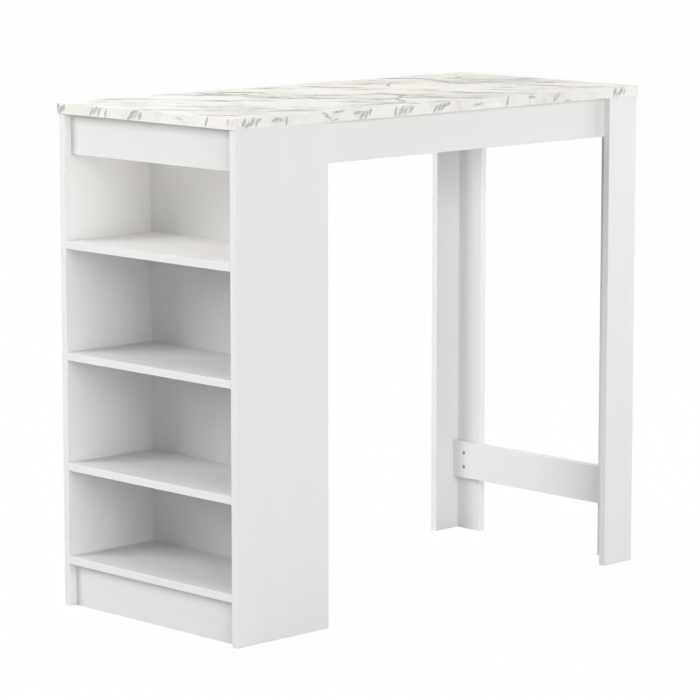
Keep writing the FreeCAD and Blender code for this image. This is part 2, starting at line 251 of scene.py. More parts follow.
short_band_marks = (
    (251, 0, 150, 18, 11, 0.30), (260, 3, 116, 12, 5, 0.80), (251, -2, 126, 13, 6, 0.80),
    (242, 2, 110, 12, 5, 0.75),
    (142, 1, 160, 30, 11, 0.26), (158, -2, 120, 13, 5, 0.50), (146, 2, 128, 14, 6, 0.60),
    (134, 0, 110, 14, 5, 0.65), (113, -1, 104, 13, 5, 0.55),
    (26, 0, 160, 28, 11, 0.26), (39, -1, 140, 17, 5, 0.95), (26, 6, 170, 14, 4, 0.55),
    (10, -1, 126, 12, 6, 0.75),
    (-104, 2, 10, 16, 7, 0.24), (-185, 0, 112, 14, 4, 0.95), (-246, 3, 105, 10, 7, 0.32),
)

# Fittings: cam discs with their cross recess, bolts, countersunk screws and fluted dowels
cam_radius = 7.5 * mm
cam_height = 12.5 * mm
cam_sides = 40
cam_rim = 1.0 * mm
cam_dish_slope = 0.2 * mm
cam_dish_depth = 0.35 * mm
cam_arris = 0.35 * mm
cam_arris_steps = 2
cam_cross = (9.0 * mm, 2.0 * mm, 2.5 * mm)
cam_mouth_radius = 3.6 * mm
cam_mouth_sides = 24
cam_mouth_start = -9.5 * mm
cam_mouth_end = 2.1 * mm
cam_mouth_depth = 8.0 * mm
cam_pointer_radius = 0.9 * mm
cam_pointer_sides = 3
cam_pointer_height = 1.4 * mm
cam_pointer_place = -6.0 * mm
bolt_sides = 20
bolt_thread_length = 11.0 * mm
bolt_thread_pitch = 1.0 * mm
bolt_thread_radius = 2.5 * mm
bolt_thread_root = 2.0 * mm
bolt_shank_end = 37.5 * mm
bolt_shank_radius = 3.5 * mm
bolt_neck_radius = 2.0 * mm
bolt_head_start = 43.0 * mm
bolt_end = 47.0 * mm
bolt_head_radius = 3.5 * mm
turned_chamfer = 0.5 * mm
crest_start_share = 0.8
crest_end_share = 1.2
screw_sides = 28
screw_length = 28.0 * mm
screw_head_radius = 4.0 * mm
screw_head_rim = 0.3 * mm
screw_head_height = 2.8 * mm
screw_neck_radius = 1.7 * mm
screw_thread_start = 9.0 * mm
screw_thread_pitch = 1.8 * mm
screw_thread_radius = 2.0 * mm
screw_thread_root = 1.35 * mm
screw_point_length = 4.0 * mm
screw_point_radius = 0.1 * mm
screw_cross = (4.4 * mm, 1.1 * mm, 1.8 * mm)
cross_taper = 0.72
dowel_radius = 4.0 * mm
dowel_length = 30.0 * mm
dowel_sides = 24
dowel_chamfer = 1.0 * mm
dowel_chamfer_steps = 1
flute_margin = 0.12 * mm
flute_depth = 0.3 * mm

# Limits for picking faces and corners, and for merging and smoothing
printed_face_limit = 0.7
facing_limit = 0.9
upright_limit = 0.1
sideways_limit = 0.5
same_place = 0.01 * mm
merge_distance = 0.001 * mm
smooth_angle = radians(35.0)

# Kinds of socket in the node groups
VALUE = "NodeSocketFloat"
VECTOR = "NodeSocketVector"
COLOUR = "NodeSocketColor"


def set_or_link(tree, socket, value):
    """Gives an input a plain value, or links it to another node's output."""
    if isinstance(value, bpy.types.NodeSocket):
        tree.links.new(value, socket)
    else:
        socket.default_value = value


def add_node(tree, kind, feeds=None, **settings):
    """Adds one shader node; feeds maps input names to plain values or to other nodes' outputs."""
    node = tree.nodes.new("ShaderNode" + kind)
    for name, value in settings.items():
        setattr(node, name, value)
    for name, value in (feeds or {}).items():
        set_or_link(tree, node.inputs[name], value)
    return node


def calc(tree, operation, *feeds):
    """One Math node on the given values; returns its output."""
    return add_node(tree, "Math", dict(enumerate(feeds)), operation=operation).outputs[0]


def aim_calc(tree, operation, *feeds):
    """One Vector Math node on the given vectors; returns its vector output."""
    return add_node(tree, "VectorMath", dict(enumerate(feeds)), operation=operation).outputs["Vector"]


def ease(tree, value, start, end, low=0.0, high=1.0):
    """Smoothly maps value from start..end to low..high."""
    feeds = {"Value": value, "From Min": start, "From Max": end, "To Min": low, "To Max": high}
    return add_node(tree, "MapRange", feeds, interpolation_type="SMOOTHSTEP").outputs["Result"]


def tint(tree, share, first, second):
    """Blends two colours by share; returns the colour."""
    node = add_node(tree, "Mix", data_type="RGBA")
    inputs = {socket.identifier: socket for socket in node.inputs}
    for name, value in {"Factor_Float": share, "A_Color": first, "B_Color": second}.items():
        set_or_link(tree, inputs[name], value)
    return next(socket for socket in node.outputs if socket.identifier == "Result_Color")


def cloud(tree, place, scale, detail=2.0, roughness=0.5):
    """Noise over the surface at scale patches per metre; returns its value and colour outputs."""
    feeds = {"Vector": place, "Scale": scale, "Detail": detail, "Roughness": roughness}
    node = add_node(tree, "TexNoise", feeds)
    return node.outputs["Fac"], node.outputs["Color"]


def socket_kind(default):
    """The kind of socket that holds a number, three coordinates or a colour."""
    if isinstance(default, float):
        return VALUE
    return VECTOR if len(default) == len(ORIGIN) else COLOUR


def start_group(name, inputs, outputs):
    """Starts a shader node group with named sockets; returns its tree, inputs and output node."""
    tree = bpy.data.node_groups.new(name, "ShaderNodeTree")
    for socket_name, default in inputs.items():
        kind = socket_kind(default)
        socket = tree.interface.new_socket(socket_name, in_out="INPUT", socket_type=kind)
        socket.default_value = default
    for socket_name, kind in outputs.items():
        tree.interface.new_socket(socket_name, in_out="OUTPUT", socket_type=kind)
    entry = tree.nodes.new("NodeGroupInput")
    leave = tree.nodes.new("NodeGroupOutput")
    return tree, entry.outputs, leave


def close_group(tree, leave, results):
    """Links the named results to the group's outputs and returns the group."""
    for name, socket in results.items():
        tree.links.new(socket, leave.inputs[name])
    return tree


def place_group(tree, group, feeds):
    """Places a node group with its own values; returns its outputs."""
    node = tree.nodes.new("ShaderNodeGroup")
    node.node_tree = group
    for name, value in feeds.items():
        set_or_link(tree, node.inputs[name], value)
    return node.outputs


def make_pressed_surface():
    """The fine pebble that a press plate leaves on laminate, with faint handling marks."""
    inputs = {"Place": ORIGIN, "Pebbles": board_pebbles, "Pebble share": 0.06, "Marks": 7.0,
              "Base roughness": 0.42, "Roughness spread": 0.08}
    outputs = {"Height": VALUE, "Roughness": VALUE}
    tree, given, leave = start_group("pressed_surface", inputs, outputs)
    pebble = cloud(tree, given["Place"], given["Pebbles"], detail=1.0)[0]
    marks = cloud(tree, given["Place"], given["Marks"], detail=4.0, roughness=0.62)[0]
    marks = ease(tree, marks, start=0.35, end=0.75, low=-0.5, high=0.5)
    marked = calc(tree, "MULTIPLY_ADD", marks, given["Roughness spread"], given["Base roughness"])
    fine = calc(tree, "MULTIPLY_ADD", pebble, given["Pebble share"], marked)
    return close_group(tree, leave, {"Height": pebble, "Roughness": fine})


def make_long_grain():
    """Faint streaks drawn out along one direction; Stretch holds the streaks per metre each way."""
    inputs = {"Place": ORIGIN, "Stretch": (streaks_across, streaks_across, streaks_along),
              "Fine scale": 1.0, "Fine share": 0.6, "Broad scale": 0.12, "Broad share": 0.7}
    tree, given, leave = start_group("long_grain", inputs, {"Streak": VALUE})
    drawn = aim_calc(tree, "MULTIPLY", given["Place"], given["Stretch"])
    fine = cloud(tree, drawn, given["Fine scale"], detail=3.0, roughness=0.6)[0]
    broad = cloud(tree, drawn, given["Broad scale"])[0]
    fine = calc(tree, "MULTIPLY", fine, given["Fine share"])
    both = calc(tree, "MULTIPLY_ADD", broad, given["Broad share"], fine)
    return close_group(tree, leave, {"Streak": ease(tree, both, start=0.45, end=0.90)})


def make_chipboard():
    """Pressed wood chips, as they show on an edge without a band."""
    inputs = {"Place": ORIGIN, "Chips": 330.0, "Warp": (0.004, 0.004, 0.004), "Warp scale": 120.0,
              "Dust scale": 900.0, "Dust share": 0.5}
    tree, given, leave = start_group("chipboard", inputs, {"Colour": COLOUR, "Height": VALUE})
    warp = cloud(tree, given["Place"], given["Warp scale"])[1]
    place = aim_calc(tree, "MULTIPLY_ADD", warp, given["Warp"], given["Place"])
    chips = add_node(tree, "TexVoronoi", {"Vector": place, "Scale": given["Chips"]}, feature="F1")
    dust = cloud(tree, place, given["Dust scale"])[0]
    shade = calc(tree, "MULTIPLY_ADD", dust, given["Dust share"], chips.outputs["Distance"])
    colour = tint(tree, ease(tree, shade, start=0.35, end=0.95), chip_pale, chip_dark)
    return close_group(tree, leave, {"Colour": colour, "Height": shade})


def make_vein_warp():
    """Bends straight places so that veins wander as they do in stone."""
    inputs = {"Place": ORIGIN, "Wander": 0.05, "Wander scale": 9.0, "Ragged": 0.018, "Ragged scale": 48.0}
    tree, given, leave = start_group("vein_warp", inputs, {"Place": VECTOR})
    place = given["Place"]
    for kind in ("Wander", "Ragged"):
        push = cloud(tree, given["Place"], given[kind + " scale"])[1]
        push = aim_calc(tree, "SUBTRACT", push, (noise_middle, noise_middle, noise_middle))
        scaled = add_node(tree, "VectorMath", {0: push, "Scale": given[kind]}, operation="SCALE")
        place = aim_calc(tree, "ADD", place, scaled.outputs["Vector"])
    return close_group(tree, leave, {"Place": place})


def make_vein_stroke():
    """One vein on the plan: full at its middle, tapering to both ends and to its sides."""
    inputs = {"Place": ORIGIN, "Middle": ORIGIN, "Angle": 0.0, "Half length": 0.1, "Half width": 0.01}
    tree, given, leave = start_group("vein_stroke", inputs, {"Vein": VALUE})
    offset = aim_calc(tree, "SUBTRACT", given["Place"], given["Middle"])
    turn = calc(tree, "MULTIPLY", given["Angle"], -1.0)
    level = add_node(tree, "VectorRotate", {"Vector": offset, "Angle": turn}, rotation_type="Z_AXIS")
    parts = add_node(tree, "SeparateXYZ", {0: level.outputs[0]}).outputs
    along = calc(tree, "DIVIDE", parts["X"], given["Half length"])
    along = calc(tree, "MULTIPLY", along, along)
    across = calc(tree, "ABSOLUTE", calc(tree, "DIVIDE", parts["Y"], given["Half width"]))
    fall = calc(tree, "SUBTRACT", 1.0, calc(tree, "ADD", along, across))
    return close_group(tree, leave, {"Vein": calc(tree, "MAXIMUM", fall, 0.0)})


def ridge_lines(tree, place, scale, width):
    """Lines where a noise passes its middle value, fading out over width to both sides."""
    value = cloud(tree, place, scale, detail=3.0, roughness=0.6)[0]
    away = calc(tree, "ABSOLUTE", calc(tree, "SUBTRACT", value, noise_middle))
    return ease(tree, away, start=width, end=0.0)


def make_stone_ground():
    """Cream stone with grey clouds, pink patches and veins that are drawn out along one slant."""
    inputs = {"Place": ORIGIN, "Ground": marble_ground, "Cloud scale": 5.0, "Cloud share": 1.0,
              "Blush scale": 6.0, "Blush share": 0.9, "Vein scale": 6.0,
              "Hairline scale": 15.0, "Hairline share": 0.7, "Gap scale": 7.0}
    tree, given, leave = start_group("stone_ground", inputs, {"Colour": COLOUR, "Hairline": VALUE})
    blush = cloud(tree, aim_calc(tree, "ADD", given["Place"], blush_shift), given["Blush scale"])[0]
    blush = calc(tree, "MULTIPLY", ease(tree, blush, start=0.46, end=0.66), given["Blush share"])
    colour = tint(tree, blush, given["Ground"], marble_blush)
    slant = {"Vector": given["Place"], "Rotation": (0.0, 0.0, vein_flow_lean), "Scale": vein_flow_draw}
    flow = add_node(tree, "Mapping", slant, vector_type="TEXTURE").outputs[0]
    soft = ridge_lines(tree, flow, given["Vein scale"], soft_vein_width)
    patches = cloud(tree, given["Place"], given["Cloud scale"], detail=5.0, roughness=0.58)[0]
    patches = ease(tree, patches, start=0.42, end=0.66)
    shade = calc(tree, "MULTIPLY", calc(tree, "MULTIPLY", soft, patches), given["Cloud share"])
    colour = tint(tree, shade, colour, marble_cloud)
    main = ridge_lines(tree, flow, given["Vein scale"], main_vein_width)
    main = calc(tree, "MULTIPLY", main, patches)
    gaps = ease(tree, cloud(tree, given["Place"], given["Gap scale"])[0], start=0.42, end=0.60)
    fine = ridge_lines(tree, flow, given["Hairline scale"], hairline_width)
    fine = calc(tree, "MULTIPLY", calc(tree, "MULTIPLY", fine, gaps), given["Hairline share"])
    hairline = calc(tree, "MAXIMUM", main, fine)
    return close_group(tree, leave, {"Colour": colour, "Hairline": hairline})


def make_metal_skin():
    """Plating or casting skin: soft dull patches and fine pits."""
    inputs = {"Place": ORIGIN, "Patch scale": 160.0, "Pits": 2600.0,
              "Base roughness": 0.32, "Roughness spread": 0.18}
    outputs = {"Dull": VALUE, "Roughness": VALUE, "Height": VALUE}
    tree, given, leave = start_group("metal_skin", inputs, outputs)
    patches = cloud(tree, given["Place"], given["Patch scale"], detail=4.0, roughness=0.6)[0]
    patches = ease(tree, patches, start=0.35, end=0.70)
    pits = cloud(tree, given["Place"], given["Pits"], detail=1.0)[0]
    rough = calc(tree, "MULTIPLY_ADD", patches, given["Roughness spread"], given["Base roughness"])
    return close_group(tree, leave, {"Dull": patches, "Roughness": rough, "Height": pits})


pressed_surface = make_pressed_surface()
long_grain = make_long_grain()
chipboard = make_chipboard()
vein_warp = make_vein_warp()
vein_stroke = make_vein_stroke()
stone_ground = make_stone_ground()
metal_skin = make_metal_skin()


def start_material(name, gloss=plain_gloss):
    """Starts a node material; returns it, its tree, its shader and its Object coordinates."""
    material = bpy.data.materials.new(name)
    material.use_nodes = True
    tree = material.node_tree
    shader = tree.nodes["Principled BSDF"]
    shader.inputs["Specular IOR Level"].default_value = gloss
    place = add_node(tree, "TexCoord").outputs["Object"]
    return material, tree, shader, place


def give_bump(tree, shader, height, relief):
    """Feeds a height to the shader's normal, with the relief's strength and depth."""
    strength, depth = relief
    bump = add_node(tree, "Bump", {"Height": height, "Strength": strength, "Distance": depth})
    tree.links.new(bump.outputs["Normal"], shader.inputs["Normal"])


def give_surface(tree, shader, colour, surface, relief):
    """Feeds a colour and a surface group's roughness and height to the shader."""
    tree.links.new(colour, shader.inputs["Base Color"])
    tree.links.new(surface["Roughness"], shader.inputs["Roughness"])
    give_bump(tree, shader, surface["Height"], relief)


def streaked(tree, place, stretch, plain, streak):
    """A plain colour with faint streaks of another."""
    share = place_group(tree, long_grain, {"Place": place, "Stretch": stretch})["Streak"]
    return tint(tree, share, plain, streak)


def pebbled(tree, place, roughness, pebbles):
    """A pressed surface of its own roughness and fineness; returns its outputs."""
    feeds = {"Place": place, "Base roughness": roughness, "Pebbles": pebbles}
    return place_group(tree, pressed_surface, feeds)


def raw_edge_mask(tree, thickness_axis):
    """1 on a board's sawn edges and bores, 0 on its two printed faces."""
    normal = add_node(tree, "NewGeometry").outputs["True Normal"]
    facing = add_node(tree, "VectorMath", {0: normal, 1: thickness_axis}, operation="DOT_PRODUCT")
    flat = calc(tree, "ABSOLUTE", facing.outputs["Value"])
    return calc(tree, "LESS_THAN", flat, printed_face_limit)


def grain_stretch(grain_axis):
    """Streaks per metre each way, drawn out along the grain."""
    return tuple(streaks_along if share else streaks_across for share in grain_axis)


def finish_board(tree, shader, place, printed, roughness, thickness_axis):
    """Shows the print on a board's faces and bare chips on its sawn edges."""
    surface = pebbled(tree, place, roughness, board_pebbles)
    raw = raw_edge_mask(tree, thickness_axis)
    chips = place_group(tree, chipboard, {"Place": place})
    colour = tint(tree, raw, printed, chips["Colour"])
    tree.links.new(colour, shader.inputs["Base Color"])
    rough = calc(tree, "MAXIMUM", surface["Roughness"], calc(tree, "MULTIPLY", raw, chip_roughness))
    tree.links.new(rough, shader.inputs["Roughness"])
    bare = calc(tree, "MULTIPLY", raw, chips["Height"])
    height = calc(tree, "MULTIPLY_ADD", bare, chip_relief_share, surface["Height"])
    give_bump(tree, shader, height, board_relief)


def white_melamine(name, thickness_axis, grain_axis):
    """White printed board with faint streaks along its grain."""
    material, tree, shader, place = start_material(name, white_print_gloss)
    printed = streaked(tree, place, grain_stretch(grain_axis), white_print, white_print_streak)
    finish_board(tree, shader, place, printed, white_print_roughness, thickness_axis)
    return material


def white_edge_band(name, grain_axis):
    """White glued-on band, a little smoother and lighter than the board."""
    material, tree, shader, place = start_material(name, white_band_gloss)
    colour = streaked(tree, place, grain_stretch(grain_axis), white_band, white_band_streak)
    give_surface(tree, shader, colour, pebbled(tree, place, white_band_roughness, band_pebbles), band_relief)
    return material


def deepest_vein(tree, bent, strokes):
    """The strongest of the strokes at each place, each given as middle, angle, half sizes and strength."""
    deepest = 0.0
    for middle, angle, half_length, half_width, strength in strokes:
        feeds = {"Place": bent, "Middle": middle, "Angle": angle,
                 "Half length": half_length, "Half width": half_width}
        stroke = place_group(tree, vein_stroke, feeds)["Vein"]
        deepest = calc(tree, "MAXIMUM", deepest, calc(tree, "MULTIPLY", stroke, strength))
    return deepest


def stone_colour(tree, bent, ground, deepest, thread_scale, core_share, hairline_share):
    """Colours the stone: solid cores, feathered borders of fine threads, and hairlines between."""
    core = ease(tree, deepest, start=0.08, end=0.50, high=core_share)
    border = ease(tree, deepest, start=0.0, end=0.35)
    threads = calc(tree, "MULTIPLY", border, ridge_lines(tree, bent, thread_scale, thread_width))
    vein = calc(tree, "MAXIMUM", core, calc(tree, "MULTIPLY", threads, thread_share))
    vein = calc(tree, "MAXIMUM", vein, calc(tree, "MULTIPLY", ground["Hairline"], hairline_share))
    breaks = cloud(tree, bent, thread_scale * break_scale, detail=3.0)[0]
    broken = ease(tree, breaks, start=0.30, end=0.62, low=0.45)
    shaded = tint(tree, calc(tree, "MULTIPLY", border, border_share), ground["Colour"], marble_cloud)
    warm = ease(tree, cloud(tree, bent, thread_scale * warm_scale)[0], start=0.40, end=0.60)
    dark = tint(tree, warm, marble_vein, marble_vein_warm)
    return tint(tree, calc(tree, "MULTIPLY", vein, broken), shaded, dark)


def plan_place(pixel):
    """The place on the plan at a pixel of the photograph, by the perspective of the top's corners."""
    to_right = right_corner - far_corner
    to_left = left_corner - far_corner
    skew = near_corner - right_corner - to_left
    spread = to_right.cross(to_left)
    along = right_corner - near_corner + skew.cross(to_left) / spread * (right_corner - pixel)
    back = left_corner - near_corner + to_right.cross(skew) / spread * (left_corner - pixel)
    offset = pixel - near_corner
    along_share = offset.cross(back) / along.cross(back)
    back_share = along.cross(offset) / along.cross(back)
    size = cad_high - cad_low
    return Vector((cad_low.x + along_share * size.x, cad_low.y + back_share * size.y))


def plan_stroke(start, end, half_width, strength):
    """A vein's stroke between two places on the plan: middle, angle, half sizes and strength."""
    run = end - start
    middle = (*(start + end) / 2, top_high.z)
    half_length = run.length * vein_core_share + vein_tail
    return middle, atan2(run.y, run.x), half_length, half_width * vein_width_share, strength


def marked_stroke(start_x, start_y, end_x, end_y, thickness, strength):
    """A vein that is marked on the photograph, carried over to the plan."""
    upright = abs(end_x - start_x) < abs(end_y - start_y)
    side = Vector((1.0, 0.0) if upright else (0.0, 1.0)) * thickness / 2
    middle = Vector((start_x + end_x, start_y + end_y)) / 2
    across = plan_place(middle + side) - plan_place(middle - side)
    start = plan_place(Vector((start_x, start_y)))
    end = plan_place(Vector((end_x, end_y)))
    half_width = abs(across.cross((end - start).normalized())) / 2
    return plan_stroke(start, end, half_width, strength)


def joining_stroke(start_x, start_y, end_x, end_y, half_width, strength):
    """A vein that is drawn on the plan in millimetres."""
    start = Vector((start_x, start_y)) * mm
    end = Vector((end_x, end_y)) * mm
    return plan_stroke(start, end, half_width * mm, strength)


def marble_melamine():
    """Marble-look board: cream stone, hairlines, and the main veins where the top shows them."""
    material, tree, shader, place = start_material("marble_melamine", marble_gloss)
    bent = place_group(tree, vein_warp, {"Place": place})["Place"]
    ground = place_group(tree, stone_ground, {"Place": bent})
    strokes = [marked_stroke(*vein) for vein in marked_veins]
    strokes += [joining_stroke(*vein) for vein in joining_veins]
    printed = stone_colour(tree, bent, ground, deepest_vein(tree, bent, strokes), **top_stone)
    finish_board(tree, shader, place, printed, marble_roughness, Z_AXIS)
    return material


def marble_edge_band(name, along, marks):
    """Printed band of the top: cream stone with clusters of short grey marks."""
    material, tree, shader, place = start_material(name, marble_band_gloss)
    parts = add_node(tree, "SeparateXYZ", {0: place}).outputs
    unrolled = add_node(tree, "CombineXYZ", {"X": parts[along], "Y": parts["Z"]}).outputs[0]
    bent = place_group(tree, vein_warp, {"Place": unrolled, **band_bend})["Place"]
    ground = place_group(tree, stone_ground, {"Place": bent, **band_ground})
    strokes = []
    for place_along, height, lean, half_length, half_width, strength in marks:
        middle = (place_along * mm, top_middle.z + height * mm, 0.0)
        strokes.append((middle, radians(lean), half_length * mm, half_width * mm, strength))
    printed = stone_colour(tree, bent, ground, deepest_vein(tree, bent, strokes), **band_stone)
    surface = pebbled(tree, place, marble_band_roughness, band_pebbles)
    give_surface(tree, shader, printed, surface, band_relief)
    return material


def beech():
    """Beech dowel: pale wood with short dark flecks."""
    material, tree, shader, place = start_material("beech")
    colour = streaked(tree, place, beech_flecks, beech_pale, beech_fleck)
    give_surface(tree, shader, colour, pebbled(tree, place, beech_roughness, beech_pebbles), beech_relief)
    return material


def metal(name, bright, dull, roughness, metallic):
    """Plated, cast or blackened metal with dull patches and fine pits."""
    material, tree, shader, place = start_material(name)
    skin = place_group(tree, metal_skin, {"Place": place, "Base roughness": roughness})
    give_surface(tree, shader, tint(tree, skin["Dull"], bright, dull), skin, metal_relief)
    shader.inputs["Metallic"].default_value = metallic
    return material


def dress(material, *node_names):
    """Puts a finish on CAD nodes, whose shapes stay as they are."""
    for node_name in node_names:
        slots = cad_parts[node_name].data.materials
        slots.clear()
        slots.append(material)


def dress_boards():
    """White boards by the way they lie, and the marble-look top."""
    dress(white_melamine("white_melamine_sides", Y_AXIS, Z_AXIS), "front_side_panel", "rear_side_panel",
          "front_leg_face_board", "rear_leg_face_board")
    dress(white_melamine("white_melamine_ends", X_AXIS, Z_AXIS), "column_back_panel",
          "front_leg_end_board", "rear_leg_end_board")
    dress(white_melamine("white_melamine_shelves", Z_AXIS, Y_AXIS), "bottom_shelf", "lower_shelf",
          "middle_shelf", "upper_shelf")
    dress(white_melamine("white_melamine_cross_boards", X_AXIS, Y_AXIS), "plinth", "column_end_apron",
          "leg_end_apron", "foot_rail")
    dress(white_melamine("white_melamine_long_aprons", Y_AXIS, X_AXIS), "front_apron", "rear_apron")
    dress(marble_melamine(), "table_top")


def dress_bands():
    """Edge bands: the white ones streaked along their length, the top's with printed marks."""
    upright = white_edge_band("white_edge_band_upright", Z_AXIS)
    across = white_edge_band("white_edge_band_across", Y_AXIS)
    lengthwise = white_edge_band("white_edge_band_lengthwise", X_AXIS)
    for side in ("front", "rear"):
        dress(upright, f"{side}_side_panel_left_band", f"{side}_side_panel_right_band",
              f"{side}_leg_face_board_left_band", f"{side}_leg_face_board_right_band")
        dress(lengthwise, f"{side}_apron_bottom_band")
    dress(upright, "front_leg_end_board_rear_band", "rear_leg_end_board_front_band")
    for level in ("bottom", "lower", "middle", "upper"):
        dress(across, f"{level}_shelf_left_band")
    dress(across, "column_end_apron_bottom_band", "leg_end_apron_bottom_band",
          "foot_rail_top_band", "foot_rail_bottom_band")
    long_band = marble_edge_band("marble_edge_band_long", "X", long_band_marks)
    short_band = marble_edge_band("marble_edge_band_short", "Y", short_band_marks)
    dress(long_band, "table_top_front_band", "table_top_rear_band")
    dress(short_band, "table_top_left_band", "table_top_right_band")


def only_select(piece):
    """Leaves one piece selected and active."""
    bpy.ops.object.select_all(action="DESELECT")
    piece.select_set(True)
    bpy.context.view_layer.objects.active = piece


def add_alone(add_primitive, **settings):
    """Adds a primitive with nothing else selected."""
    bpy.ops.object.select_all(action="DESELECT")
    add_primitive(**settings)
    return bpy.context.object


def start_piece(add_primitive, **settings):
    """Adds a primitive and settles its place and size in its mesh."""
    piece = add_alone(add_primitive, **settings)
    bpy.ops.object.transform_apply()
    return piece


def edit_faces(piece, wanted):
    """Goes into edit mode with the faces selected whose middle and normal are wanted."""
    only_select(piece)
    bpy.ops.object.mode_set(mode="EDIT")
    bpy.ops.mesh.select_mode(type="FACE")
    bpy.ops.mesh.select_all(action="DESELECT")
    bpy.ops.object.mode_set(mode="OBJECT")
    for face in piece.data.polygons:
        face.select = wanted(face.center, face.normal)
    bpy.ops.object.mode_set(mode="EDIT")


def end_edit(piece):
    """Merges doubles, turns the faces outwards and leaves edit mode."""
    bpy.ops.mesh.select_all(action="SELECT")
    bpy.ops.mesh.remove_doubles(threshold=merge_distance)
    bpy.ops.mesh.normals_make_consistent(inside=False)
    bpy.ops.object.mode_set(mode="OBJECT")
    return piece


def bevel_ends(piece, offset, steps):
    """Bevels the rims of a cylinder's two flat ends."""
    edit_faces(piece, lambda middle, normal: abs(normal.z) > facing_limit)
    bpy.ops.mesh.bevel(offset=offset, segments=steps, affect="EDGES")
    end_edit(piece)


def turned(rings, sides):
    """A turned piece: a round face, extruded and resized to the height and radius of each ring in turn."""
    height, radius = rings[0]
    piece = start_piece(bpy.ops.mesh.primitive_circle_add, vertices=sides, radius=radius,
                        fill_type="NGON", location=(0.0, 0.0, height))
    bpy.ops.object.mode_set(mode="EDIT")
    bpy.ops.mesh.select_all(action="SELECT")
    for next_height, next_radius in rings[1:]:
        step = {"value": (0.0, 0.0, next_height - height)}
        bpy.ops.mesh.extrude_region_move(TRANSFORM_OT_translate=step)
        share = next_radius / radius
        bpy.ops.transform.resize(value=(share, share, 1.0), center_override=(0.0, 0.0, next_height))
        height, radius = next_height, next_radius
    return end_edit(piece)


def thread_rings(start, end, pitch, crest, root):
    """Heights and radii of a thread's crests and roots between two heights."""
    step = pitch if end > start else -pitch
    half = step / 2
    rings = []
    for turn in range(round(abs(end - start) / pitch)):
        low = start + turn * step
        rings += [(low, root), (low + half * crest_start_share, crest), (low + half * crest_end_share, crest)]
    return [*rings, (end, root)]


def chamfered_rings(start, end, radius):
    """Heights and radii of a round length with a chamfer at each end."""
    return [(start, radius - turned_chamfer), (start + turned_chamfer, radius),
            (end - turned_chamfer, radius), (end, radius - turned_chamfer)]


def cut_away(piece, cutter):
    """Cuts one piece with another, which is then gone."""
    cut = piece.modifiers.new("cut", "BOOLEAN")
    cut.operation = "DIFFERENCE"
    cut.solver = "EXACT"
    cut.object = cutter
    only_select(piece)
    bpy.ops.object.modifier_apply(modifier=cut.name)
    bpy.data.objects.remove(cutter)


def cut_cross(piece, span, width, depth):
    """Sinks a cross recess with tapering arms into the face at height 0."""
    for size in ((span, width), (width, span)):
        arm = start_piece(bpy.ops.mesh.primitive_cube_add, size=1.0, scale=(*size, 2 * depth))
        edit_faces(arm, lambda middle, normal: normal.z < -facing_limit)
        bpy.ops.transform.resize(value=(cross_taper, cross_taper, 1.0))
        cut_away(piece, end_edit(arm))


def smooth_round_faces(piece):
    """Smooths round faces, keeps sharp arrises, and returns the piece."""
    only_select(piece)
    bpy.ops.object.shade_smooth_by_angle(angle=smooth_angle)
    return piece


def model_cam_disc():
    """Cam disc, face up at height 0: bevelled rim, dished face, mouth for the bolt, cross and pointer."""
    disc = start_piece(bpy.ops.mesh.primitive_cylinder_add, vertices=cam_sides, radius=cam_radius,
                       depth=cam_height, location=(0.0, 0.0, -cam_height / 2))
    bevel_ends(disc, cam_arris, cam_arris_steps)
    edit_faces(disc, lambda middle, normal: normal.z > facing_limit and middle.z > -same_place)
    bpy.ops.mesh.inset(thickness=cam_rim)
    bpy.ops.mesh.inset(thickness=cam_dish_slope, depth=-cam_dish_depth)
    end_edit(disc)
    mouth_middle = (cam_mouth_start + cam_mouth_end) / 2
    mouth = add_alone(bpy.ops.mesh.primitive_cylinder_add, vertices=cam_mouth_sides,
                      radius=cam_mouth_radius, depth=cam_mouth_end - cam_mouth_start,
                      location=(mouth_middle, 0.0, -cam_mouth_depth), rotation=(0.0, quarter_turn, 0.0))
    cut_away(disc, mouth)
    cut_cross(disc, *cam_cross)
    pointer = add_alone(bpy.ops.mesh.primitive_cylinder_add, vertices=cam_pointer_sides,
                        radius=cam_pointer_radius, depth=cam_pointer_height,
                        location=(cam_pointer_place, 0.0, 0.0), rotation=(0.0, 0.0, quarter_turn))
    cut_away(disc, pointer)
    return smooth_round_faces(disc)


def model_cam_bolt():
    """Cam bolt along +Z from the end of its thread: thread, shank, neck and head."""
    rings = [(0.0, bolt_thread_root - turned_chamfer)]
    rings += thread_rings(turned_chamfer, bolt_thread_length, bolt_thread_pitch,
                          bolt_thread_radius, bolt_thread_root)
    rings += chamfered_rings(bolt_thread_length, bolt_shank_end, bolt_shank_radius)
    rings += [(bolt_shank_end, bolt_neck_radius), (bolt_head_start, bolt_neck_radius)]
    rings += chamfered_rings(bolt_head_start, bolt_end, bolt_head_radius)
    return smooth_round_faces(turned(rings, bolt_sides))


def model_board_screw():
    """Countersunk screw, head up at height 0, with a thread down to its point."""
    point_start = screw_point_length - screw_length
    rings = [(0.0, screw_head_radius), (-screw_head_rim, screw_head_radius),
             (-screw_head_height, screw_neck_radius)]
    rings += thread_rings(-screw_thread_start, point_start, screw_thread_pitch,
                          screw_thread_radius, screw_thread_root)
    rings += [(-screw_length, screw_point_radius)]
    screw = turned(rings, screw_sides)
    cut_cross(screw, *screw_cross)
    return smooth_round_faces(screw)


